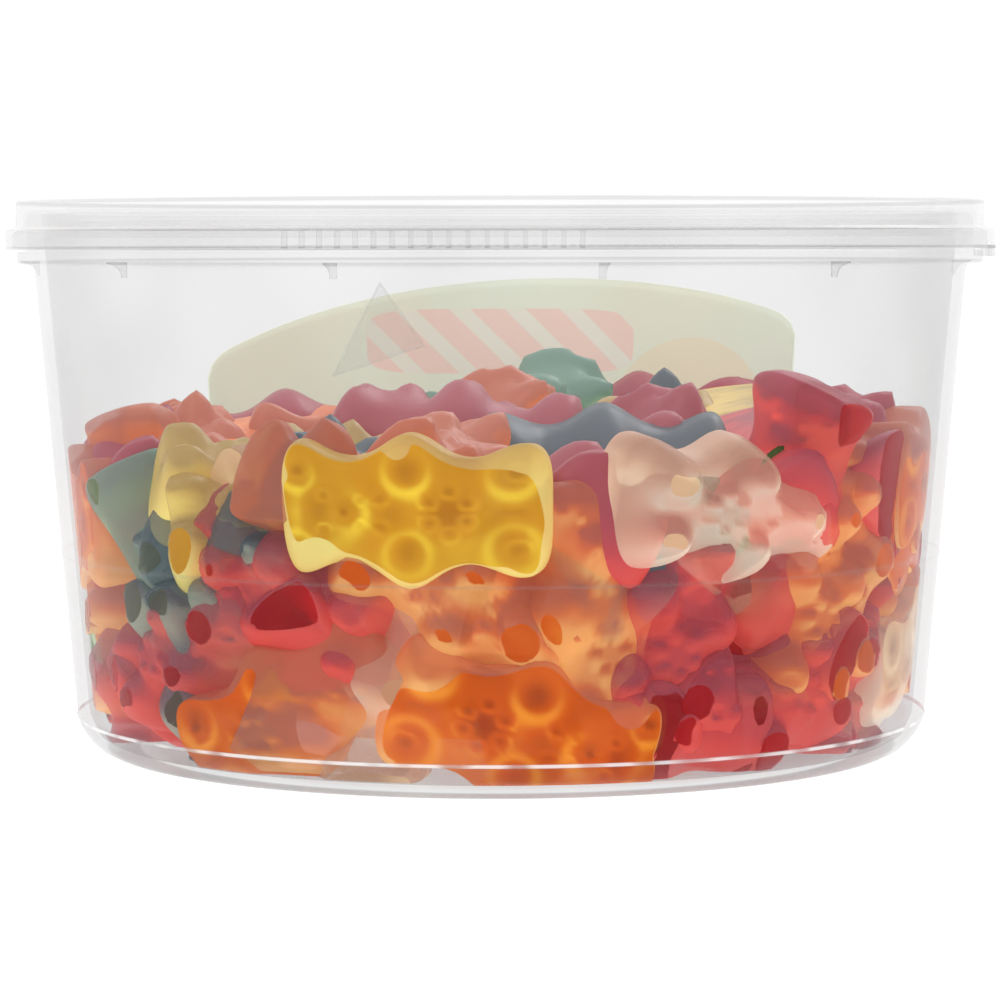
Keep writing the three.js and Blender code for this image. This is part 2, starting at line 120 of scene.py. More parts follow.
def arc(centre, radius, start, end, steps=6):
    """Points of an arc in the (radius, height) plane, angles in degrees."""
    angles = np.radians(np.linspace(start, end, steps))
    return [(centre[0] + radius * math.cos(a), centre[1] + radius * math.sin(a)) for a in angles]


# ---- random numbers, in the same row as the solids' ------------------------------------------
FIRST_DRAW = 20977
EXTRA_DRAW = 7411
LEHMER = 16807
LEHMER_MODULUS = 2147483647


class Draws:
    """Repeatable random numbers from -1 to 1."""

    def __init__(self, first):
        self.state = first

    def __call__(self):
        self.state = self.state * LEHMER % LEHMER_MODULUS
        return 2 * self.state / LEHMER_MODULUS - 1


# ---- one bear -------------------------------------------------------------------------------
BEAR_LENGTH = 23.5
BEAR_WAIST = 4.3  # half width between the bulges
BEAR_RIM = 1.3  # depth of the flat back behind the widest outline
BEAR_END = 2.0  # rounding length at the feet and the ears
BEAR_SIDE_HEIGHT = 4.3  # of the belly side at its outline
BEAR_DOME = 1.3  # and how much more along the middle
BEAR_SQUARENESS = 0.6  # 1 would make every cross-section round
RIM_POWER = 3.33  # 2 / BEAR_SQUARENESS, rounded
BEAR_CROWDING = 1.5  # draws the points toward the feet and the ears
BEAR_END_HEIGHT = 0.35  # share of the height that is left where the end rounding starts
COARSE_RINGS, COARSE_SIDES = 10, 10
# place along the bear, reach, added half width
BULGES = ((10, 2.6, 1.45), (0.2, 3, 2.35), (-9.4, 2.9, 1.4))
# place along, place across, reach, height
RELIEF = (
    (5.4, 0, 1.9, 1.6),
    (7.2, 0, 3.4, 1.4),
    (10.2, 3.4, 1.8, 1.1),
    (0.3, 3.7, 2.3, 2.4),
    (-8.8, 3.5, 2.6, 2.8),
    (-3.4, 0, 3.6, 1.0),
)
# finer relief that only shows close up: ear hollows, eyes, nose, tufts on the belly
FINE_RELIEF = (
    (10.1, 3.6, 0.8, -0.7),
    (7.7, 1.5, 0.6, -0.6),
    (5.9, 0, 0.6, 0.45),
    (4.4, 1.1, 0.5, -0.35),
    (2.6, 1.2, 0.7, 0.45),
    (-1.6, 0.9, 0.75, 0.5),
    (-3.4, 1.9, 0.75, 0.5),
    (-5, 0.8, 0.7, 0.45),
    (-9.2, 3.3, 0.9, -0.35),
)


def bell(distance, reach):
    return np.exp(-((distance / reach) ** 2))


def bump(distance, reach):
    """Like a bell, with a flatter crown and a steeper side."""
    return np.exp(-((distance / reach) ** 4))


def half_width(x):
    return BEAR_WAIST + sum(gain * bell(x - place, reach) for place, reach, gain in BULGES)


def front_height(x, y, relief):
    height = BEAR_SIDE_HEIGHT + BEAR_DOME * (1 - (y / half_width(x)) ** 2)
    for place, across, reach, gain in relief:
        height = height + gain * bump(np.hypot(x - place, np.abs(y) - across), reach)
    return height


def bear_surface(along, v, front, relief):
    """Points of a bear that lies on its back: along from the feet (-1) to the ears (1), v across,
    and front tells the belly side from the flat back."""
    x = BEAR_LENGTH / 2 * along
    past = np.clip((np.abs(x) - BEAR_LENGTH / 2 + BEAR_END) / BEAR_END, 0, 1)
    y = half_width(x) * np.cbrt(1 - past ** 3) * v
    falling = np.sqrt(1 - past ** 2)
    rim = 1 - np.abs(v) ** RIM_POWER
    end_height = BEAR_END_HEIGHT + (1 - BEAR_END_HEIGHT) * falling
    top = front_height(x, y, relief) * end_height * falling * rim ** (BEAR_SQUARENESS / 2)
    back = -BEAR_RIM * falling * np.sqrt(rim)
    return np.stack(np.broadcast_arrays(x, y, np.where(front, top, back)), axis=-1)


def spaced(s):
    """Brings even steps from -1 to 1 closer together at both ends."""
    return np.sign(s) * (1 - (1 - np.abs(s)) ** BEAR_CROWDING)


def coarse_points():
    """The points that settle how far a bear stands from the wall, as in the solids."""
    along = np.linspace(-1, 1, COARSE_RINGS + 1)[:, None]
    turn = np.radians(np.arange(COARSE_SIDES) * 360 / COARSE_SIDES)[None, :]
    v = -np.sign(np.cos(turn)) * np.abs(np.cos(turn)) ** BEAR_SQUARENESS
    return bear_surface(spaced(along), v, np.sin(turn) > -1e-9, RELIEF).reshape(-1, 3)


# ---- its mesh, and what its points say about its look ---------------------------------------
# rings holds the painted knob light seen through the back
Grid = namedtuple("Grid", "points faces normals back rings loose")
EDGE_SHARE = 0.94  # the part of a half turn that the steps from rim to rim cover
NORMAL_LIMIT = 0.97  # normals are taken no closer than this to the ends and the rims
NORMAL_STEP = 0.02
FINE_REACH = 1  # the ring about a knob no wider than this is drawn longer,
FINE_STRETCH = 0.7  # as distances along the bear count for this much
RING_PLACE, RING_WIDTH = 0.85, 0.24  # of the painted highlight ring about a knob, in the knob's reach
RING_LEVEL, RING_SLANT = 0.7, 0.5  # it is brighter on the side of the bear's middle
RING_GAIN, RING_GROWTH = 0.2, 0.3  # and stronger on a wide knob
DULL_WIDTH, DULL_SHARE = 0.4, 0.6  # the painted shade in the middle of a knob
# where a back never quite touches the wall: place along, place across, reach
LOOSE_PLACES = ((-9.0, -3.2, 2.4), (9.6, 3.0, 1.7), (8.2, -3.9, 1.8), (1.0, 5.2, 1.2))
LOOSE_DEPTH = 0.5


def across_steps(steps):
    """Places from rim to rim, closer together at the rims, without the last one."""
    turns = np.linspace(-0.5, 0.5, steps + 1) * math.pi * EDGE_SHARE
    return (np.sin(turns) / math.sin(0.5 * EDGE_SHARE * math.pi))[:-1]


def belly_normals(along, v, relief):
    """Which way the belly side faces at each place, and behind it for a place on the back."""
    a = np.clip(along, -NORMAL_LIMIT, NORMAL_LIMIT)[:, None]
    b = np.clip(v, -NORMAL_LIMIT, NORMAL_LIMIT)[None, :]
    lengthwise, sideways = (
        bear_surface(a + da, b + db, True, relief) - bear_surface(a - da, b - db, True, relief)
        for da, db in ((NORMAL_STEP, 0), (0, NORMAL_STEP)))
    normals = np.cross(lengthwise, sideways)
    normals /= np.linalg.norm(normals, axis=-1, keepdims=True)
    return np.concatenate([normals.reshape(-1, 3), [(-1.0, 0, 0), (1.0, 0, 0)]])


def painted_knob_light(points, relief):
    """How the knobs of the belly side look through the back: a painted highlight ring about a middle
    of painted shade.
    """
    marks = np.zeros(len(points) + 2)
    for place, across, reach, _ in relief:
        along = (points[:, 0] - place) * (1 if reach > FINE_REACH else FINE_STRETCH)
        off = np.abs(points[:, 1]) - across
        away = np.hypot(along, off) / reach
        ring = bell(away - RING_PLACE, RING_WIDTH) * (RING_LEVEL - RING_SLANT * off / reach)
        gain = RING_GAIN + RING_GROWTH * min(1, reach / 2)
        marks[:-2] += gain * (ring - DULL_SHARE * bell(away, DULL_WIDTH))
    return marks


def loose_marks(points):
    """How far the back stands off the wall at the places where a bear never quite touches."""
    marks = np.zeros(len(points) + 2)
    for place, across, reach in LOOSE_PLACES:
        away = np.hypot(points[:, 0] - place, points[:, 1] - across)
        marks[:-2] += LOOSE_DEPTH * bump(away, reach)
    return marks


def bear_grid(rings, front_steps, back_steps, relief):
    """One bear, with rings closer together at its ends and rims: points, faces, and at each point
    the belly side's normal, whether it is on the back, and the marks of the back: the painted
    knob light and where the back stands off the wall."""
    along = spaced(np.linspace(-1, 1, rings + 2)[1:-1])
    v = np.concatenate([-across_steps(front_steps), across_steps(back_steps)])
    front = np.arange(len(v)) < front_steps
    points = bear_surface(along[:, None], v[None, :], front[None, :], relief).reshape(-1, 3)
    ends = bear_surface(np.array([-1.0, 1.0]), np.zeros(2), True, relief)
    columns = len(v)
    faces = grid_faces(rings, columns)
    feet, ears = len(points), len(points) + 1
    last = (rings - 1) * columns
    for j in range(columns):
        k = (j + 1) % columns
        faces.append((feet, k, j))
        faces.append((ears, last + j, last + k))
    normals = belly_normals(along, v, relief)
    back = np.append(np.tile(~front, rings), [False, False])
    return Grid(np.concatenate([points, ends]), faces, normals, back,
                painted_knob_light(points, relief), loose_marks(points))


COARSE = coarse_points()
# rings, steps over the belly side, steps over the back
HERO = bear_grid(110, 30, 44, RELIEF + FINE_RELIEF)
FINE = bear_grid(64, 28, 24, RELIEF + FINE_RELIEF)
PLAIN = bear_grid(44, 20, 10, RELIEF + FINE_RELIEF)
DEEP = bear_grid(28, 14, 8, RELIEF)

# ---- the pile -------------------------------------------------------------------------------
PRESS = 0.45  # how far a bear is squashed against the wall
BEND = 1  # a bear against the wall follows its curve
HIGHEST = 36.2  # no bear against the front wall stands higher
COURSE_HIGHEST = 31.8  # nor any round the sides and the back
SCALE_SPREAD = 0.04  # how much bears differ in size,
TWIST_SPREAD = 0.012  # in twist (radians a millimetre)
BOW_SPREAD = 0.004  # and in bow along their length
BOW_LEVEL = 30  # square of the distance from the middle at which a bow changes nothing
# kind, then azimuth and height of the middle, spin, lean and roll
FRONT_BEARS = (
    ("yellow", -10.8, 24.5, 180, 0, 0),
    ("red", 48, 23, 93, -15, -90),
    ("pale", 34, 23.4, -7, 4, 180),
    ("orange", 2.7, 5.6, -16, 0, 0),
    ("orange", -5, 16.6, -28, 0, 180),
    ("red", 25.6, 13.7, 69, 9, 180),
    ("red", -49, 11.4, 25, 0, 176),
    ("orange", -30, 6.5, 28, 4, 10),
    ("red", -31, 17, 160, 2, 176),
    ("pale", -10.4, 8.2, 76, 4, 92),
    ("green", -61, 15.7, -52, 12, 40),
    ("red", -73, 7.5, 84, 0, 90),
    ("orange", 60, 18.5, 80, 0, 146),
    ("red", 50, 7.5, 20, 0, 170),
    ("red", 17.5, 6, 8, 0, 172),
    ("red", 34, 4.2, 5, 8, 120),
    ("slate", -45, 6.5, 100, -5, 80),
    ("slate", -43.5, 15.8, 8, 6, 150),
    ("orange", 51, 16.5, 80, 3, 170),
    ("slate", -38.5, 18, 10, 16, 60),
    ("orange", 13, 15, 96, 10, 30),
    ("orange", -27.5, 20.5, -90, 68, 0),
    ("yellow", -38, 21, 10, 30, 150),
    ("orange", -76, 14, 80, 0, 170),
    ("red", -27, 18, 120, 60, 100),
    ("orange", -84, 21.5, 0, 0, 0),
    ("red", -57, 12, 60, 42, 60),
    ("red", 45, 16, 150, 25, 110),
    ("pale", 79, 9, 10, 0, 10),
    ("orange", 78, 15, 100, 0, 160),
    ("orange", 80, 25, 0, 4, 0),
    ("orange", -82, 20, 100, 5, 170),
    ("red", 68, 9, 70, 5, 160),
)
HEROES = (0, 3)  # two bears lie flat against the wall, in full view
# kind, then x and y of the middle, height of the top, heading, lean and roll
TOP_BEARS = (
    ("slate", -10.5, -24, 30.2, 205, 8, 0),
    ("orange", -5.5, -25, 32.4, 75, 0, 30),
    ("red", -4, -8, 34.2, 170, 6, 40),
    ("red", -21, 17, 32.6, 10, 4, 90),
    ("orange", -13, 6, 32, 190, 4, 90),
    ("orange", -0.5, 6, 34.6, 88, 34, 30),
    ("slate", 9, -13, 32.6, 5, 0, 100),
    ("green", 2, 22, 36, 70, 20, 60),
    ("red", 14, 31, 33.8, 10, 0, 90),
    ("slate", 16, 15, 32.4, 85, 10, 0),
    ("red", 15.5, -10, 33.4, 100, 20, 20),
    ("red", 22, -16, 31.9, 95, 10, 160),
    ("yellow", 21.5, 8, 33, 80, 6, 170),
    ("red", 27, 17, 33, 120, 8, 60),
    ("red", 31.5, -10, 33.4, 100, 14, 40),
    ("orange", -33.5, 4, 31.5, 80, 14, 30),
    ("red", -33.5, -4, 30.8, 100, 8, 20),
    ("yellow", -19.5, -17, 31.2, 8, 0, 20),
    ("orange", -29, 1, 31.2, 95, 10, 0),
    ("orange", -24, 8, 31, 60, 6, 180),
    ("orange", 35, -7, 29, 85, 10, 60),
    ("yellow", 11, 5, 32.6, 20, 10, 40),
    ("red", 7, -23, 29.6, 90, 0, 30),
    ("slate", 6, -22, 25, 95, 0, 60),
)
# the rest of the wall: courses of bears laid out by rule
COURSE_HEIGHTS = (6.5, 14.5, 22.5)
PER_COURSE, COURSE_START, COURSE_SPAN = 9, 88, 187
COURSE_JITTER = 0.2  # of the space that each bear has
HEIGHT_JITTER = 1.5
COURSE_LEAN, LEAN_JITTER = 12, 14
# and the rest of the top: radius and number of each ring
TOP_RINGS = ((30, 10), (17, 6), (3, 1))
RING_TURN, RING_LEAN, RING_FRONT = 12, 10, -5
TOP_HEIGHT, TOP_SLOPE, SPACING = 31.8, 0.03, 12.5
# a second layer, which shows between the bears at the wall
DEEP_COURSES = (7, 16, 24)
DEEP_RADIUS, DEEP_COUNT, DEEP_RISE, DEEP_LEAN = 29, 8, 5, 30
MIX = ("red", "orange", "red", "yellow", "orange", "red", "pale", "slate", "red", "green", "orange")
MIX_STEP, MIX_SPREAD = 7, 3
UNBENT = (1, 0, 0)

draw = Draws(FIRST_DRAW)
extra = Draws(EXTRA_DRAW)  # for what only shows here: colours, tones and the second layer


def bear_axes(right, up, out, spin, lean, roll):
    spin, lean, roll = np.radians((spin, lean, roll))
    level = math.cos(spin) * right + math.sin(spin) * up
    across = -math.sin(spin) * right + math.cos(spin) * up
    along = math.cos(lean) * level - math.sin(lean) * out
    toward = math.cos(lean) * out + math.sin(lean) * level
    front = -math.cos(roll) * toward + math.sin(roll) * across
    return np.stack([along, np.cross(front, along), front])


def kept_inside(points, gap):
    """Squashes points against the floor and the wall. Gives how deep each was pressed."""
    floor = FLOOR_TOP + gap
    press = floor - points[:, 2]
    points[:, 2] = np.maximum(points[:, 2], floor)
    radius = np.hypot(points[:, 0], points[:, 1])
    limit = wall_inner(points[:, 2]) - gap
    press = np.maximum(press, radius - limit)
    points[:, :2] *= np.minimum(1, limit / radius)[:, None]
    return points, press


def wall_bear(gap, highest, azimuth, height, spin, lean, roll, form):
    right, level = polar(azimuth + 90, 1, 0), polar(azimuth, 1, 0)
    tilt = math.atan(WALL_SLOPE)
    up = level * math.sin(tilt) + np.array([0, 0, math.cos(tilt)])
    out = np.cross(right, up)
    axes = bear_axes(right, up, out, spin, lean, roll)
    radius = float(wall_inner(np.array(height)))
    start = polar(azimuth, radius, height)

    def bent(points):
        turned = formed(points, form) @ axes
        sideways = turned @ right
        return turned - out * (BEND * sideways ** 2 / (2 * radius))[:, None] + start

    coarse = bent(COARSE)
    reach = np.hypot(coarse[:, 0], coarse[:, 1]) - wall_inner(np.maximum(coarse[:, 2], CORNER_TOP))
    move = out * (PRESS - reach.max())
    move[2] += min(0, highest - (coarse[:, 2] + move[2]).max())
    return lambda points: kept_inside(bent(points) + move, gap), axes


def top_bear(gap, x, y, top, heading, lean, roll, form):
    heading = np.radians(heading)
    right = np.array([math.cos(heading), math.sin(heading), 0])
    up = np.array([right[1], -right[0], 0])
    axes = bear_axes(right, up, np.array([0, 0, -1.0]), 0, lean, roll)
    laid = lambda points: formed(points, form) @ axes
    middle = np.array([x, y, top - laid(COARSE)[:, 2].max()])
    return lambda points: kept_inside(laid(points) + middle, gap), axes


def course_bears():
    bears = []
    for height in COURSE_HEIGHTS:
        for i in range(PER_COURSE):
            azimuth = COURSE_START + (i + 0.5 + COURSE_JITTER * draw()) * COURSE_SPAN / PER_COURSE
            middle = height + HEIGHT_JITTER * draw()
            spin = 180 * draw()
            lean = COURSE_LEAN + LEAN_JITTER * draw()
            bears.append([azimuth, middle, spin, lean, 180 * draw()])
    return bears


def ring_bears():
    bears = []
    for radius, count in TOP_RINGS:
        for i in range(count):
            angle = math.radians(i * 360 / count + RING_TURN * draw())
            x, y = radius * math.cos(angle), radius * math.sin(angle)
            top = TOP_HEIGHT + TOP_SLOPE * x + draw()
            bear = [x, y, top, 180 * draw(), RING_LEAN * draw(), 180 * draw()]
            others = [b[1:3] for b in TOP_BEARS] + [b[:2] for b in bears]
            if y > RING_FRONT and all(math.hypot(a - x, b - y) >= SPACING for a, b in others):
                bears.append(bear)
    return bears


def deep_bears():
    bears = []
    for course, height in enumerate(DEEP_COURSES):
        for i in range(DEEP_COUNT):
            step = i + 0.5 * (course % 2) + COURSE_JITTER * extra()
            angle = math.radians(step * 360 / DEEP_COUNT)
            x, y = DEEP_RADIUS * math.cos(angle), DEEP_RADIUS * math.sin(angle)
            bears.append([x, y, height + DEEP_RISE, 180 * extra(), DEEP_LEAN * extra(), 180 * extra()])
    return bears


def some_form():
    """Scale, twist and bow of one bear: no two are quite alike."""
    return 1 + SCALE_SPREAD * draw(), TWIST_SPREAD * draw(), BOW_SPREAD * draw()


def formed(points, form):
    scale, twist, bow = form
    x, y, z = points.T
    angle = twist * x
    turned_y = y * np.cos(angle) - z * np.sin(angle)
    turned_z = y * np.sin(angle) + z * np.cos(angle) + bow * (x ** 2 - BOW_LEVEL)
    return scale * np.stack([x, turned_y, turned_z], axis=-1)


def mixed_kinds(count):
    return [MIX[(i * MIX_STEP + int(MIX_SPREAD * (extra() + 1))) % len(MIX)] for i in range(count)]


def all_bears():
    """Kind, placing function with axes, and grid of every bear, in the solids' order. At the wall
    each stands a hair further from it than those before, so that no two lie in one surface."""
    courses = course_bears()
    kinds = [b[0] for b in FRONT_BEARS] + mixed_kinds(len(courses))
    rows = [b[1:] for b in FRONT_BEARS] + courses
    gaps = [TOUCH + STEP_BACK * i for i in range(len(rows))]
    tops = [HIGHEST] * len(FRONT_BEARS) + [COURSE_HIGHEST] * len(courses)
    grids = [HERO if i in HEROES else FINE for i in range(len(FRONT_BEARS))]
    grids += [PLAIN] * len(courses)
    bears = []
    for kind, gap, top, row, grid in zip(kinds, gaps, tops, rows, grids):
        bears.append((kind, wall_bear(gap, top, *row, some_form()), grid))
    rings = ring_bears()
    kinds = [b[0] for b in TOP_BEARS] + mixed_kinds(len(rings))
    rows = [b[1:] for b in TOP_BEARS] + rings
    bears += [(k, top_bear(gaps[-1], *row, some_form()), PLAIN) for k, row in zip(kinds, rows)]
    rows = deep_bears()
    kinds = mixed_kinds(len(rows))
    bears += [(k, top_bear(DEEP_GAP, *row, UNBENT), DEEP) for k, row in zip(kinds, rows)]
    return bears


# ---- materials ------------------------------------------------------------------------------
def rgb(red, green, blue):
    """A display colour, 0 to 255, as the linear colour that shaders take."""
    linear = lambda c: c / 12.92 if c <= 0.04045 else ((c + 0.055) / 1.055) ** 2.4
    return tuple(linear(c / 255) for c in (red, green, blue)) + (1.0,)


class Look:
    """A Principled material and its nodes, by short calls."""

    def __init__(self, name, **settings):
        self.material = bpy.data.materials.new(name)
        self.material.use_nodes = True
        self.tree = self.material.node_tree
        self.shader = self.tree.nodes["Principled BSDF"]
        for socket, value in settings.items():
            self.shader.inputs[socket.replace("_", " ")].default_value = value

    def node(self, kind, inputs=(), **settings):
        node = self.tree.nodes.new("ShaderNode" + kind)
        for key, value in settings.items():
            setattr(node, key, value)
        for socket, value in dict(inputs).items():
            if isinstance(value, bpy.types.NodeSocket):
                self.tree.links.new(value, node.inputs[socket])
            else:
                node.inputs[socket].default_value = value
        return node

    def place(self):
        """Object coordinates, so that a pattern stays on the piece."""
        return self.node("TexCoord").outputs["Object"]

    def noise(self, scale, detail=0.0):
        """Noise from 0 to 1, with about scale cells a metre."""
        inputs = {"Vector": self.place(), "Scale": scale, "Detail": detail}
        return self.node("TexNoise", inputs).outputs["Fac"]

    def mark(self, name):
        return self.node("Attribute", attribute_name=name).outputs["Fac"]

    def maths(self, operation, a, b=0.0, c=0.0):
        return self.node("Math", {0: a, 1: b, 2: c}, operation=operation).outputs[0]

    def between(self, value, low, high, to_low=0.0, to_high=1.0):
        """A smooth step from to_low where value is low to to_high where it is high."""
        limits = {"From Min": low, "From Max": high, "To Min": to_low, "To Max": to_high}
        node = self.node("MapRange", {"Value": value, **limits}, interpolation_type="SMOOTHSTEP")
        return node.outputs["Result"]

    def mixed(self, share, a, b):
        """A colour from a to b. The Mix node keeps its colours in sockets 6, 7 and 2."""
        node = self.node("Mix", {0: share, 6: a, 7: b}, data_type="RGBA")
        return node.outputs[2]

    def bump(self, height, distance, strength):
        inputs = {"Height": height, "Distance": distance, "Strength": strength}
        return self.node("Bump", inputs).outputs["Normal"]

    def set(self, socket, value):
        self.tree.links.new(value, self.shader.inputs[socket])


# ---- gum ------------------------------------------------------------------------------------
GUM_IOR = 1.4
GLOW = 0.28  # painted glow: the gum emits its own colour, standing in for light that reaches a bear through its neighbours
CLOUD_SCALE, GRAIN_SCALE = 110, 900
GRAIN_DEPTH, GRAIN_STRENGTH = 0.05, 0.5
CLOUD_SHARE = 0.3  # how much cloudiness shifts a lobe's light
UP_SHADE = -0.4  # what faces up is duller
TONE_SHARE, LENS_LEVEL = 0.35, -0.15
# ranges of the painted lobe light over which the colour turns from painted shade to body to painted
# light
DULL_TO_BODY, BODY_TO_ALIGHT = (-1.0, 0.3), (-0.1, 1.2)
DEEP_CLOUD = 0.4  # how much cloudiness shifts the painted light that shows through a flat back
# ranges of that painted light over which a contact turns from painted shade to wet to painted light
DARK_TO_WET, WET_TO_LIGHT = (-0.7, 0.1), (0.0, 0.9)
RAGGED = 0.04  # unevenness of a contact's border
CONTACT_EDGE = 0.015  # and its width
VEIL = rgb(205, 190, 186)  # what lies far from the wall looks paler
VEIL_DEPTHS, VEIL_SHARE = (-0.5, -14.0), 0.12
HAZE_ROUGHNESS, WET_ROUGHNESS = 0.38, 0.1
HAZE_SPECULAR, WET_SPECULAR = 0.35, 0.05
# display colours: painted shade, body, painted light, then pressed against the wall: painted shade,
# wet, painted light
GUMS = {
    "red": (rgb(150, 60, 74), rgb(194, 66, 70), rgb(228, 84, 76),
            rgb(104, 6, 14), rgb(152, 8, 16), rgb(206, 30, 26)),
    "orange": (rgb(178, 98, 74), rgb(222, 120, 62), rgb(255, 188, 108),
               rgb(150, 58, 4), rgb(208, 88, 6), rgb(246, 154, 42)),
    "yellow": (rgb(166, 138, 84), rgb(212, 182, 100), rgb(252, 234, 136),
               rgb(170, 114, 18), rgb(202, 146, 26), rgb(242, 210, 60)),
    "green": (rgb(100, 134, 120), rgb(118, 162, 132), rgb(190, 224, 180),
              rgb(40, 60, 34), rgb(66, 98, 46), rgb(134, 170, 100)),
    "slate": (rgb(64, 80, 90), rgb(90, 106, 110), rgb(156, 168, 150),
              rgb(38, 44, 42), rgb(62, 68, 58), rgb(124, 132, 106)),
    "pale": (rgb(190, 152, 130), rgb(232, 200, 170), rgb(255, 248, 222),
             rgb(180, 140, 110), rgb(218, 182, 142), rgb(248, 228, 184)),
}
# how solid the haze looks, and how strongly lobes gather light
HAZE = {"red": (0.62, 1.4), "orange": (0.6, 1.4), "yellow": (0.7, 1.2), "green": (0.65, 1.3),
        "slate": (0.65, 1.3), "pale": (0.45, 1.5)}
# numbers at each point: depth pressed, painted light on a lobe, painted light through the back (a tone
# on the belly side), solidity, tone
MARKS = ("press", "lit", "back_light_and_tone", "cover", "tone")
DOME = 0.1  # a rounded lobe touches over a smaller spot than its flattened part
OPAQUE_DEPTHS = (2.5, 6)  # behind the wall, where a bear starts to look solid and where it does
HERO_LIT = (0.6, 0.1)  # gain and level of the light on the two bears in full view
FRONT_FADE, FAR_FADE = 0.5, 1.0  # painted shade: how much duller a bear gets toward its top
# how the belly's slope and its painted lobe light add to the painted light through the back
SLOPE_SHARE, LIT_SHARE, DEEP_LEVEL = 0.35, 0.2, 0.25
# on the belly side the same number is only the bear's tone
SIDE_TONE, SIDE_LEVEL = 0.3, 0.1
# by place in FRONT_BEARS: by how much a bear is pressed more than its form says, in millimetres
CLOSER = {0: 0.16, 1: 0.8, 3: 0.1, 7: 0.3, 8: -0.7, 21: -1.0}
# and how light it is, where that isn't left to a draw
TONES = {0: 1.5, 1: 1.6, 2: 1.2, 3: 1.0, 5: 0.7, 7: -1.8, 9: -1.6}
FIRST_TOP = len(FRONT_BEARS) + PER_COURSE * len(COURSE_HEIGHTS)


def gum(kind, shades, haze, contrast):
    """Fruit gum: a waxy haze over a see-through body. Where the gum is pressed flat against the
    wall the haze goes and the body shows. Each lobe is a lens whose light is painted into the
    colour: painted shade above and painted light below."""
    painted_shade, body, painted_light, wet_painted_shade, wet, wet_painted_light = shades
    look = Look(f"gum_{kind}", IOR=GUM_IOR, Emission_Strength=GLOW)
    press, lit, back_light_and_tone, cover, tone = (look.mark(m) for m in MARKS)
    cloud, grain = look.noise(CLOUD_SCALE), look.noise(GRAIN_SCALE)
    ragged = look.maths("MULTIPLY_ADD", grain, RAGGED, -RAGGED / 2)
    contact = look.between(look.maths("ADD", press, ragged), 0.0, CONTACT_EDGE)

    up = look.node("SeparateXYZ", {0: look.node("NewGeometry").outputs["Normal"]}).outputs[2]
    # painted light of each lobe: lighter where it faces down, duller where it faces up, shifted by
    # cloud and tone
    lens = look.maths("MULTIPLY_ADD", cloud, CLOUD_SHARE, lit)
    lens = look.maths("MULTIPLY_ADD", up, UP_SHADE, lens)
    level = look.maths("MULTIPLY_ADD", tone, TONE_SHARE, LENS_LEVEL * contrast)
    lens = look.maths("MULTIPLY_ADD", lens, contrast, level)
    seen = look.mixed(look.between(lens, *DULL_TO_BODY), painted_shade, body)
    seen = look.mixed(look.between(lens, *BODY_TO_ALIGHT), seen, painted_light)
    seen = look.mixed(look.between(press, *VEIL_DEPTHS, 0, VEIL_SHARE), seen, VEIL)

    # painted light through a flat back: highlight rings about the knobs, painted shade in their
    # middles
    shift = look.maths("MULTIPLY_ADD", cloud, DEEP_CLOUD, -DEEP_CLOUD / 2)
    back_light_and_tone = look.maths("ADD", back_light_and_tone, shift)
    clear = look.mixed(look.between(back_light_and_tone, *DARK_TO_WET), wet_painted_shade, wet)
    clear = look.mixed(look.between(back_light_and_tone, *WET_TO_LIGHT), clear, wet_painted_light)

    colour = look.mixed(contact, seen, clear)
    solid = look.between(contact, 0, 1, haze, 0.5 + 0.5 * haze)
    look.set("Base Color", colour)
    # painted glow: the gum emits its own colour
    look.set("Emission Color", colour)
    look.set("Roughness", look.between(contact, 0, 1, HAZE_ROUGHNESS, WET_ROUGHNESS))
    look.set("Specular IOR Level", look.between(contact, 0, 1, HAZE_SPECULAR, WET_SPECULAR))
    look.set("Alpha", look.maths("MAXIMUM", solid, cover))
    look.set("Normal", look.bump(grain, GRAIN_DEPTH * MM, GRAIN_STRENGTH))
    look.material.use_transparent_shadow = False
    return look.material


def bear_marks(number, grid, points, press, axes):
    """What the gum's look has to know at each point of one bear, by the names in MARKS."""
    # painted lobe light: a belly that faces down is lit, one that faces up is shaded
    lit = -(grid.normals @ axes)[:, 2]
    slope = np.hypot(grid.normals[:, 0], grid.normals[:, 1])
    tone = TONES[number] if number in TONES else extra()
    rise = (points[:, 2] - points[:, 2].mean()) / np.ptp(points[:, 2])
    fade = FRONT_FADE if number < len(FRONT_BEARS) else FAR_FADE
    # painted light through the back: highlight rings about the knobs, brighter on steep and
    # down-facing parts
    through = grid.rings + SLOPE_SHARE * slope + LIT_SHARE * lit - DEEP_LEVEL
    on_top = FIRST_TOP <= number < FIRST_TOP + len(TOP_BEARS)
    return {
        "press": press - np.where(grid.back, grid.loose, DOME) + CLOSER.get(number, 0),
        "lit": HERO_LIT[0] * lit + HERO_LIT[1] if number in HEROES else lit - fade * rise,
        "back_light_and_tone": np.where(grid.back, through, SIDE_TONE * tone - SIDE_LEVEL),
        "cover": np.ones(len(points)) if on_top else np.interp(-press, OPAQUE_DEPTHS, (0, 1)),
        "tone": np.full(len(points), tone),
    }


def make_bears():
    looks = {kind: gum(kind, shades, *HAZE[kind]) for kind, shades in GUMS.items()}
    pools = {kind: {"points": [], "faces": [], **{m: [] for m in MARKS}} for kind in GUMS}
    counts = dict.fromkeys(GUMS, 0)
    for number, (kind, (placed, axes), grid) in enumerate(all_bears()):
        pool = pools[kind]
        points, press = placed(grid.points)
        pool["points"].append(points)
        pool["faces"] += [tuple(i + counts[kind] for i in face) for face in grid.faces]
        for mark, values in bear_marks(number, grid, points, press, axes).items():
            pool[mark].append(values)
        counts[kind] += len(points)
    for kind, pool in pools.items():
        numbers = {mark: np.concatenate(pool[mark]) for mark in MARKS}
        points = np.concatenate(pool["points"])
        mesh_piece(f"bears_{kind}", points, pool["faces"], looks[kind], ("bears",), numbers)


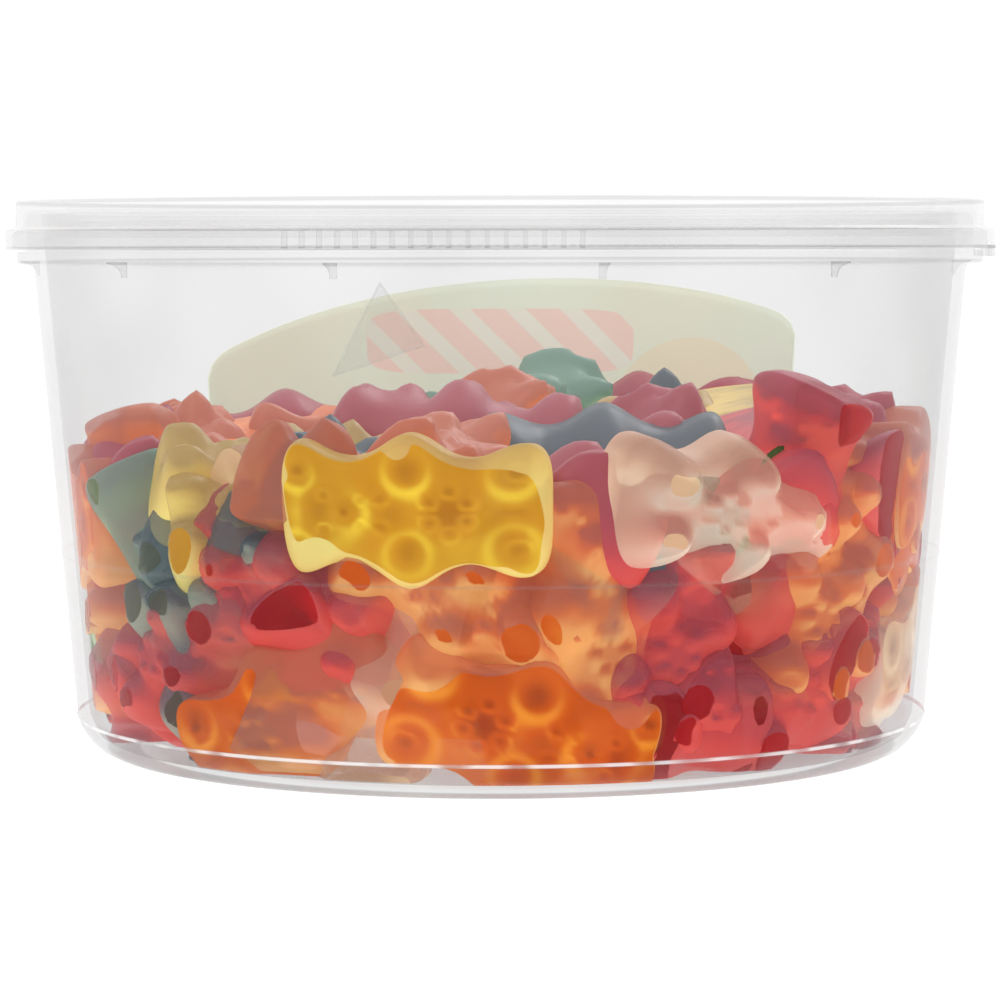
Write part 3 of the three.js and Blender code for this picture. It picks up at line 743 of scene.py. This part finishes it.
# ---- the core -------------------------------------------------------------------------------
# radius and height, from the middle of its floor to the middle of its top
CORE_PROFILE = np.array([(0, 2.6), (20, 2.6), (24, 5), (25, 20), (22, 26), (12, 28), (0, 28.5)])
CORE_ROWS, CORE_COLUMNS = 60, 120
CORE_PATCHES = 110.0  # patches of colour a metre
LUMP, LUMPS_ROUND, LUMPS_UP = 1.5, 7, 0.6
LUMP_RADIUS, LEAST_RADIUS = 5, 0.01


def make_core():
    """The middle of the pile, which only shows as colour between the bears."""
    # painted glow: the core emits its own colour, as the bears do
    look = Look("gum_core", Roughness=0.5, Emission_Strength=GLOW)
    cells = look.node("TexVoronoi", {"Vector": look.place(), "Scale": CORE_PATCHES})
    hue = look.node("SeparateColor", {0: cells.outputs["Color"]}).outputs[0]
    colour = look.mixed(look.between(hue, 0.3, 0.7), rgb(176, 60, 60), rgb(214, 124, 66))
    look.set("Base Color", colour)
    look.set("Emission Color", colour)
    corners = np.arange(len(CORE_PROFILE))
    places = np.linspace(0, corners[-1], CORE_ROWS)
    radius = np.interp(places, corners, CORE_PROFILE[:, 0])[:, None]
    height = np.interp(places, corners, CORE_PROFILE[:, 1])[:, None]
    angle = np.linspace(0, 360, CORE_COLUMNS, endpoint=False)[None, :]
    lumps = LUMP * np.sin(np.radians(LUMPS_ROUND * angle)) * np.sin(height * LUMPS_UP)
    radius = np.maximum(LEAST_RADIUS, radius + lumps * (radius > LUMP_RADIUS))
    points = polar(angle, radius, height)
    faces = grid_faces(CORE_ROWS, CORE_COLUMNS)
    faces.append(tuple(range(CORE_COLUMNS))[::-1])
    faces.append(tuple((CORE_ROWS - 1) * CORE_COLUMNS + j for j in range(CORE_COLUMNS)))
    mesh_piece("bears_core", points.reshape(-1, 3), faces, look.material, ("bears",))


# ---- clear plastic --------------------------------------------------------------------------
PLASTIC_IOR, PLASTIC_SPECULAR = 1.49, 0.25
# SHADE_GREY is the colour of the painted shade lines
WHITE, FACE_GREY, SHADE_GREY = (1, 1, 1, 1), rgb(66, 68, 70), rgb(96, 98, 100)
FILM_SCALE, FILM_UNEVENNESS = 90, 0.15
EDGE_POWER = 3.0  # how late the film turns milky toward its edges
EDGE_FACING = (0.2, 0.9)
LINE_ALPHA = 0.6
LID_OUTSIDE = (44.3, 44.6)  # the radius over which the lid turns from panel to rim and skirt
CREASE_SCALE, CREASE_RADIUS = 350, (38.9, 39.1)
TRIANGLE_FROST, TRIANGLE_EDGE, TRIANGLE_DEPTH = 0.12, 0.22, (-20, -30)


def plastic(name, veil, edge, rim, roughness, lines):
    """Clear polypropylene: a faint grey film face on, milky where it is seen edge on. Lines gives its
    painted highlight lines with the frosted mark, its painted shade lines, and how thick the film is."""
    look = Look(name, IOR=PLASTIC_IOR, Roughness=roughness, Specular_IOR_Level=PLASTIC_SPECULAR)
    facing = look.node("LayerWeight", {"Blend": 0.5}).outputs["Facing"]
    film = look.maths("MULTIPLY_ADD", look.maths("POWER", facing, EDGE_POWER), edge - veil, veil)
    uneven = look.between(look.noise(FILM_SCALE), 0.2, 0.8, 1 - FILM_UNEVENNESS, 1 + FILM_UNEVENNESS)
    film = look.maths("MULTIPLY", film, uneven)
    spot = look.node("SeparateXYZ", {0: look.place()}).outputs
    x, y, z = (look.maths("MULTIPLY", spot[i], 1 / MM) for i in range(3))
    plan = look.node("CombineXYZ", {0: x, 1: y}).outputs[0]
    radius = look.node("VectorMath", {0: plan}, operation="LENGTH").outputs["Value"]
    highlight_and_frost, shade_lines, thickness = lines(look, (x, y, z), radius)
    colour = look.mixed(look.between(facing, *EDGE_FACING), FACE_GREY, rim)
    # white for the painted highlights and the frosted mark, grey for the painted shade
    colour = look.mixed(shade_lines, look.mixed(highlight_and_frost, colour, WHITE), SHADE_GREY)
    film = look.maths("MULTIPLY", film, thickness)
    look.set("Base Color", colour)
    look.set("Alpha", look.maths("MULTIPLY_ADD", look.maths("ADD", highlight_and_frost, shade_lines), LINE_ALPHA, film))
    return look.material


def line(look, height, middle, half, share):
    """A fine line round a piece at one height."""
    off = look.maths("ABSOLUTE", look.maths("SUBTRACT", height, middle))
    return look.between(off, half, 0.4 * half, 0, share)


def lid_lines(look, place, radius):
    """Fine lines of painted shade along the top edge and the foot of the skirt, a painted highlight
    line over the skirt.
    """
    z = place[2]
    outer = look.between(radius, *LID_OUTSIDE)
    top = line(look, z, LID_TOP - 0.2, half=0.25, share=0.3)
    foot = line(look, z, SKIRT_BOTTOM + 0.1, half=0.2, share=0.22)
    # painted shade: dark lines along the top edge and the foot of the skirt
    shade_lines = look.maths("MULTIPLY", look.maths("ADD", top, foot), outer)
    # painted highlight: a white line over the skirt
    shoulder_highlight = line(look, z, SKIRT_TOP + 0.15, half=0.18, share=0.5)
    highlight_and_frost = look.maths("MULTIPLY", shoulder_highlight, outer)
    return highlight_and_frost, shade_lines, look.between(radius, *LID_OUTSIDE, 0.5, 1.4)


def triangle_mark(look, x, y, z):
    """The frosted triangle on the front wall, which points up to where the lid opens."""
    sides = []
    for k, (x0, z0) in enumerate(TRIANGLE):
        x1, z1 = TRIANGLE[k - 2]
        length = math.hypot(x1 - x0, z1 - z0)
        start = (x0 * (z1 - z0) - z0 * (x1 - x0)) / length
        along = look.maths("MULTIPLY_ADD", x, (z0 - z1) / length, start)
        sides.append(look.maths("MULTIPLY_ADD", z, (x1 - x0) / length, along))
    inward = look.maths("MINIMUM", look.maths("MINIMUM", sides[0], sides[1]), sides[2])
    frost = look.between(inward, 0, 0.1, 0, TRIANGLE_FROST)
    outline = look.between(look.maths("ABSOLUTE", inward), 0.14, 0.05, 0, TRIANGLE_EDGE)
    return look.maths("MULTIPLY", look.maths("ADD", frost, outline), look.between(y, *TRIANGLE_DEPTH))


def tub_lines(look, place, radius):
    """The painted highlight on the crease over the foot and on the faint mould line, and the frosted
    triangle, then the painted shade along the edge that the tub stands on, over the rounded base and
    under its flange."""
    x, y, z = place
    grain = look.between(look.noise(CREASE_SCALE), 0.3, 0.6, 0.55, 1)
    # painted highlight: a white line on the crease over the foot and a faint one on the mould line
    crease_highlight = look.maths("MULTIPLY", line(look, z, BASE_CREASE, half=0.24, share=1.0), grain)
    crease_highlight = look.maths("MULTIPLY", crease_highlight, look.between(radius, *CREASE_RADIUS))
    highlight_and_frost = look.maths("ADD", crease_highlight, line(look, z, MOULD_LINE, half=0.16, share=0.14))
    highlight_and_frost = look.maths("ADD", highlight_and_frost, triangle_mark(look, x, y, z))
    # painted shade: dark along the edge that the tub stands on, over the rounded base and under the
    # flange
    standing, edge = look.between(z, 0.16, 0.04, 0, 0.5), look.between(z, 3.3, 2.9, 0, 0.12)
    flange = line(look, z, FLANGE_BOTTOM, half=0.2, share=0.16)
    shade_lines = look.maths("ADD", look.maths("ADD", standing, edge), flange)
    return highlight_and_frost, shade_lines, look.between(z, FLANGE_TOP, FLANGE_TOP + 0.4, 1.0, 0.35)


# ---- tub and lid ----------------------------------------------------------------------------
TURNED_STEPS = 288  # round the tub and the lid
GUSSET_ROOT = 0.3  # how far a gusset runs into the wall,
GUSSET_TOP = 45.3  # up into the flange
GUSSET_END = 44.6  # and out under it
GUSSET_HOLLOW = (1.6, 1.2)  # reach and rise of the hollow in its free edge
GUSSET_HALF_ANGLE = math.degrees(0.32 / 44)
BEAD = 0.1  # how far the mould line stands out
CREASE_BEAD = 0.12
RIB_ANGLES, RIB_WIDTH = np.arange(-23, 9, 1.95), 0.5  # in degrees, as all below
TOOTH_ANGLES, TOOTH_WIDTH = np.arange(-9, 28, 0.95), 0.5
PULL_ANGLES, PULL_WIDTH = np.arange(83, 97, 2), 2


def lathe(name, outline, columns, material, replaced=(), parts=()):
    """Turns an outline of (radius, height) that starts and ends on the axis, and joins parts."""
    outline = np.array(outline)
    angle = np.linspace(0, 360, columns, endpoint=False)
    body = polar(angle[None, :], outline[1:-1, 0][:, None], outline[1:-1, 1][:, None])
    points = [body.reshape(-1, 3), [(0, 0, outline[0, 1]), (0, 0, outline[-1, 1])]]
    rows = len(outline) - 2
    faces = grid_faces(rows, columns)
    first, last = rows * columns, rows * columns + 1
    for j in range(columns):
        k = (j + 1) % columns
        faces.append((first, k, j))
        faces.append((last, (rows - 1) * columns + j, (rows - 1) * columns + k))
    count = rows * columns + 2
    for more, more_faces in parts:
        points.append(more)
        faces += [tuple(i + count for i in face) for face in more_faces]
        count += len(more)
    piece = mesh_piece(name, np.concatenate(points), faces, material, replaced)
    piece.visible_shadow = False  # clear plastic takes next to no light from what stands in it


BOX_FACES = ((0, 1, 3, 2), (4, 6, 7, 5), (0, 4, 5, 1), (2, 3, 7, 6), (0, 2, 6, 4), (1, 5, 7, 3))


def block(azimuths, radii, heights):
    """A small block between two azimuths, radii and heights."""
    points = [polar(a, r, z) for a in azimuths for r in radii for z in heights]
    return np.array(points), BOX_FACES


def gusset(azimuth):
    """A thin web under the flange with a hollow free edge."""
    root = wall_outer(GUSSET_BOTTOM) - GUSSET_ROOT
    reach, rise = GUSSET_HOLLOW
    hollow = [(GUSSET_END + 0.05 - reach * math.cos(t), GUSSET_BOTTOM - 0.05 + rise * math.sin(t))
              for t in np.linspace(0, 1.5, 7)]
    edge = [(root, GUSSET_BOTTOM), *hollow, (GUSSET_END, GUSSET_TOP), (root, GUSSET_TOP)]
    sides = (-GUSSET_HALF_ANGLE, GUSSET_HALF_ANGLE)
    points = [polar(azimuth + side, r, z) for side in sides for r, z in edge]
    n = len(edge)
    faces = [tuple(range(n)), tuple(range(2 * n - 1, n - 1, -1))]
    faces += [(i, n + i, n + (i + 1) % n, (i + 1) % n) for i in range(n)]
    return np.array(points), faces


def make_tub():
    look = plastic("tub_plastic", veil=0.065, edge=0.36, rim=rgb(176, 178, 180), roughness=0.14,
                   lines=tub_lines)
    on_wall = lambda heights: [(wall_outer(z), z) for z in heights]
    outline = [(0, FOOT_HEIGHT), (FOOT_INNER, FOOT_HEIGHT), (33.6, 0.3), (33.9, 0.1), (34.2, 0.0)]
    outline += [(36.3, 0.0), (37.0, 0.12), (37.8, 0.5), (38.5, 1.15), (39.0, 1.8), (39.4, 2.5)]
    outline += [*on_wall([3.0]), (wall_outer(BASE_CREASE) + CREASE_BEAD, BASE_CREASE)]
    outline += on_wall([3.45, *np.linspace(4.2, 18.0, 8)])
    outline += [(wall_outer(MOULD_LINE) + BEAD, MOULD_LINE)]
    outline += on_wall([18.5, *np.linspace(20, 44.4, 12)])
    outline += [(wall_outer(44.8) + 0.15, 44.85), (44.4, 45.0), (44.75, 45.1)]
    outline += [(FLANGE_RADIUS, 45.25), (FLANGE_RADIUS, 45.95), (44.7, FLANGE_TOP), (44.05, 46.2)]
    outline += [(RIM_OUTER, 46.35), *arc((RIM_OUTER - 0.4, RIM_TOP - 0.4), 0.4, 0, 90, 5)]
    outline += arc((42.95, RIM_TOP - 0.4), 0.4, 90, 180, 5)
    outline += [(wall_inner(z), z) for z in np.linspace(47, CORNER_TOP, 20)]
    outline += [(38.1, 2.4), (37.7, 1.6), (FLOOR_RADIUS - 0.2, FLOOR_TOP), (0, FLOOR_TOP)]
    outline = [(float(r), float(z)) for r, z in outline]
    webs = [gusset(GUSSET_OFFSET + GUSSET_STEP * i) for i in range(-3, 3)]
    lathe("tub_shell", outline, TURNED_STEPS, look, ("tub",), webs)


def make_lid():
    look = plastic("lid_plastic", veil=0.034, edge=0.24, rim=rgb(206, 207, 208), roughness=0.16,
                   lines=lid_lines)
    outline = [(0, 48.9), (40.7, 48.9), *arc((40.75, 48.55), 0.35, 90, 0, 4), (41.1, 47.6)]
    outline += [(41.3, PLUG_BOTTOM), (41.8, PLUG_BOTTOM), (PLUG_RADIUS, 47.6), (PLUG_RADIUS, 49.6)]
    outline += [*arc((42.3, 49.6), 0.3, 180, 90, 4), *arc((43.9, 49.6), 0.3, 90, 0, 4)]
    outline += [(CHANNEL_RADIUS, 48.4), (45.1, 47.85), (SKIRT_INNER, 47.7), (SKIRT_INNER, 46.45)]
    outline += [(45.3, SKIRT_BOTTOM), (45.7, SKIRT_BOTTOM), (45.85, 46.5), (45.85, 46.9)]
    outline += [(45.75, 47.0), (45.85, 47.1), (45.85, 47.95), (45.7, 48.15), (45.0, 48.35)]
    outline += [(LID_RADIUS, 48.5), (LID_RADIUS, 49.25), (44.84, 49.3), (LID_RADIUS, 49.35)]
    outline += [*arc((LID_RADIUS - 0.4, LID_TOP - 0.4), 0.4, 0, 90, 5), (41.0, LID_TOP)]
    outline += [(40.7, 50.7), (40.3, 49.95), (40.0, PANEL_TOP), (0, PANEL_TOP)]
    ribs = [block((a, a + RIB_WIDTH), (45.6, 45.97), (46.5, 48.0)) for a in RIB_ANGLES]
    teeth = [block((a, a + TOOTH_WIDTH), (45.5, 45.95), (46.62, 46.8)) for a in TOOTH_ANGLES]
    pull = [block((a, a + PULL_WIDTH), (45.3, 45.95), (45.55, 46.6)) for a in PULL_ANGLES]
    lathe("lid_shell", outline, TURNED_STEPS, look, ("lid",), ribs + teeth + pull)


# ---- label ----------------------------------------------------------------------------------
LABEL_COLUMNS, LABEL_ROWS = 120, 40
PRINT_RADIUS = 42  # turns an angle into millimetres along the film
PAPER_SCALE, FIBRE_SCALE, FIBRE_DEPTH, FIBRE_STRENGTH = 60, 400, 0.02, 0.4


def label_top(angle):
    """Height of the label's top edge: an arch with its crown off the middle of the back."""
    from_end = LABEL_HALF_ANGLE - np.abs(angle)
    corner = np.clip(1 - from_end / LABEL_CORNER_ANGLE, 0, 1)
    arch = LABEL_CROWN - LABEL_ARCH * (angle - LABEL_CROWN_ANGLE) ** 2
    return arch - LABEL_CORNER_DROP * (1 - np.sqrt(1 - corner ** 2))


def label_look(name, ground, bar, sun, stripe, share, glow):
    """Film printed with plain shapes: a striped bar and a round sun on an uneven ground. Share is
    how strong the print is. Glow is a painted glow: how strongly the film emits its own colour."""
    look = Look(name, Roughness=0.5, Emission_Strength=glow)
    split = look.node("SeparateXYZ", {0: look.node("UVMap").outputs[0]})
    u, v = split.outputs[0], split.outputs[1]

    def off(place, middle, half, power):
        """How far a place is from a shape's middle along one axis, where 1 is the shape's edge."""
        away = look.maths("DIVIDE", look.maths("SUBTRACT", place, middle), half)
        return look.maths("POWER", look.maths("ABSOLUTE", away), power)

    def oval(middle, half, power):
        across, up = off(u, middle[0], half[0], power), off(v, middle[1], half[1], power)
        return look.between(look.maths("ADD", across, up), 1.03, 0.97)

    paper = look.mixed(look.between(look.noise(PAPER_SCALE, 3.0), 0.3, 0.7, 0, 0.25), ground, sun)
    disc = oval(middle=(20.5, 28), half=(9, 9), power=2.0)
    waves = look.maths("SINE", look.maths("MULTIPLY", look.maths("ADD", u, v), 1.1))
    striped = look.mixed(look.between(waves, 0.2, 0.5), bar, stripe)
    banner = oval(middle=(0, 36.5), half=(14, 3.4), power=5.0)
    colour = look.mixed(look.maths("MULTIPLY", disc, share), paper, sun)
    colour = look.mixed(look.maths("MULTIPLY", banner, share), colour, striped)
    look.set("Base Color", colour)
    look.set("Emission Color", colour)
    look.set("Normal", look.bump(look.noise(FIBRE_SCALE, 3.0), FIBRE_DEPTH * MM, FIBRE_STRENGTH))
    return look.material


def make_label():
    # painted glow: the inside of the label emits its colour, standing in for light that comes through
    # the film from behind
    inside = label_look("label_inside", ground=rgb(213, 219, 202), bar=rgb(230, 178, 170),
                        sun=rgb(222, 204, 172), stripe=rgb(219, 212, 202), share=0.55, glow=0.52)
    outside = label_look("label_outside", ground=rgb(232, 190, 84), bar=rgb(190, 46, 42),
                         sun=rgb(232, 132, 40), stripe=rgb(240, 220, 180), share=1.0, glow=0.0)
    columns, rows = LABEL_COLUMNS, LABEL_ROWS
    angle = np.linspace(-LABEL_HALF_ANGLE, LABEL_HALF_ANGLE, columns)
    share = np.linspace(0, 1, rows)[:, None]
    height = LABEL_BOTTOM + share * (label_top(angle)[None, :] - LABEL_BOTTOM)
    sides = [polar(180 + angle[None, :], wall_outer(height) + off, height)
             for off in (LABEL_GAP, LABEL_GAP + LABEL_THICK)]
    points = np.concatenate([side.reshape(-1, 3) for side in sides])
    count = rows * columns
    near = grid_faces(rows, columns, 0, False)
    far = [face[::-1] for face in grid_faces(rows, columns, count, False)]
    ring = list(range(columns)) + [i * columns + columns - 1 for i in range(1, rows)]
    ring += [(rows - 1) * columns + j for j in range(columns - 2, -1, -1)]
    ring += [i * columns for i in range(rows - 2, 0, -1)]
    rim = [(a + count, b + count, b, a) for a, b in zip(ring, ring[1:] + ring[:1])]
    piece = mesh_piece("label_film", points, near + far + rim, [inside, outside], ("label",))
    mesh = piece.data
    index = np.zeros(len(mesh.polygons), np.int32)
    index[len(near):len(near + far)] = 1
    mesh.polygons.foreach_set("material_index", index)
    layer = mesh.uv_layers.new(name="UVMap")
    loops = np.zeros(len(mesh.loops), np.int32)
    mesh.loops.foreach_get("vertex_index", loops)
    across = np.tile(np.radians(-angle) * PRINT_RADIUS, rows)
    flat = np.stack([across, height.reshape(-1)], axis=-1)
    layer.data.foreach_set("uv", np.tile(flat, (2, 1))[loops].ravel())


# ---- stage ----------------------------------------------------------------------------------
# lengths are metres from here on
FLOOR_HALF, FLOOR_DROP = 15.0, 0.02 * MM
FLOOR_GLOW, SKY_GLOW = 1.09, 1.05
LAMPS = {"key": (-0.35, -0.5, 0.75), "back": (0.3, 0.6, 0.6)}
LAMP_SIZE, LAMP_WATTS, LAMP_TARGET = 0.4, 1.2, (0, 0, 0.025)
CAMERA_PLACE, CAMERA_PITCH, CAMERA_TILT = (0, -0.345, 0.0473), -0.071, 0.002
LENS, SENSOR, CLIP_START = 132.5, 36, 0.01


def make_floor():
    """A plain white floor that glows by itself, so that no noise and little time go into it."""
    look = Look("floor", Base_Color=(0, 0, 0, 1), Specular_IOR_Level=0.0, Emission_Color=WHITE,
                Emission_Strength=FLOOR_GLOW)
    h, z = FLOOR_HALF, -FLOOR_DROP
    corners = [(-h, -h, z), (h, -h, z), (h, h, z), (-h, h, z)]
    mesh = bpy.data.meshes.new("floor")
    mesh.from_pydata(corners, [], [(0, 1, 2, 3)])
    mesh.materials.append(look.material)
    floor = bpy.data.objects.new("floor", mesh)
    bpy.context.scene.collection.objects.link(floor)


def area_light(name, place, target, size, watts):
    light = bpy.data.lights.new(name, "AREA")
    light.shape, light.size, light.energy = "DISK", size, watts
    lamp = bpy.data.objects.new(name, light)
    bpy.context.scene.collection.objects.link(lamp)
    lamp.location = place
    direction = np.array(target) - np.array(place)
    pitch = math.atan2(math.hypot(direction[0], direction[1]), -direction[2])
    heading = math.atan2(direction[1], direction[0]) - math.pi / 2
    lamp.rotation_euler = Euler((pitch, 0, heading))


def make_light():
    world = bpy.data.worlds.new("studio")
    bpy.context.scene.world = world
    world.use_nodes = True
    world.node_tree.nodes["Background"].inputs["Color"].default_value = WHITE
    world.node_tree.nodes["Background"].inputs["Strength"].default_value = SKY_GLOW
    for name, place in LAMPS.items():
        area_light(name, place, LAMP_TARGET, LAMP_SIZE, LAMP_WATTS)


def make_camera():
    """Just over the rim and a little downward, at about a third of a metre."""
    data = bpy.data.cameras.new("camera")
    data.lens, data.sensor_width = LENS, SENSOR
    data.clip_start = CLIP_START
    camera = bpy.data.objects.new("camera", data)
    bpy.context.scene.collection.objects.link(camera)
    camera.location = CAMERA_PLACE
    camera.rotation_euler = Euler((math.pi / 2 + CAMERA_PITCH, CAMERA_TILT, 0))
    bpy.context.scene.camera = camera


make_bears()
make_core()
make_tub()
make_lid()
make_label()
make_floor()
make_light()
make_camera()
scene = bpy.context.scene
scene.view_settings.view_transform = "Standard"
scene.cycles.transparent_max_bounces = 24
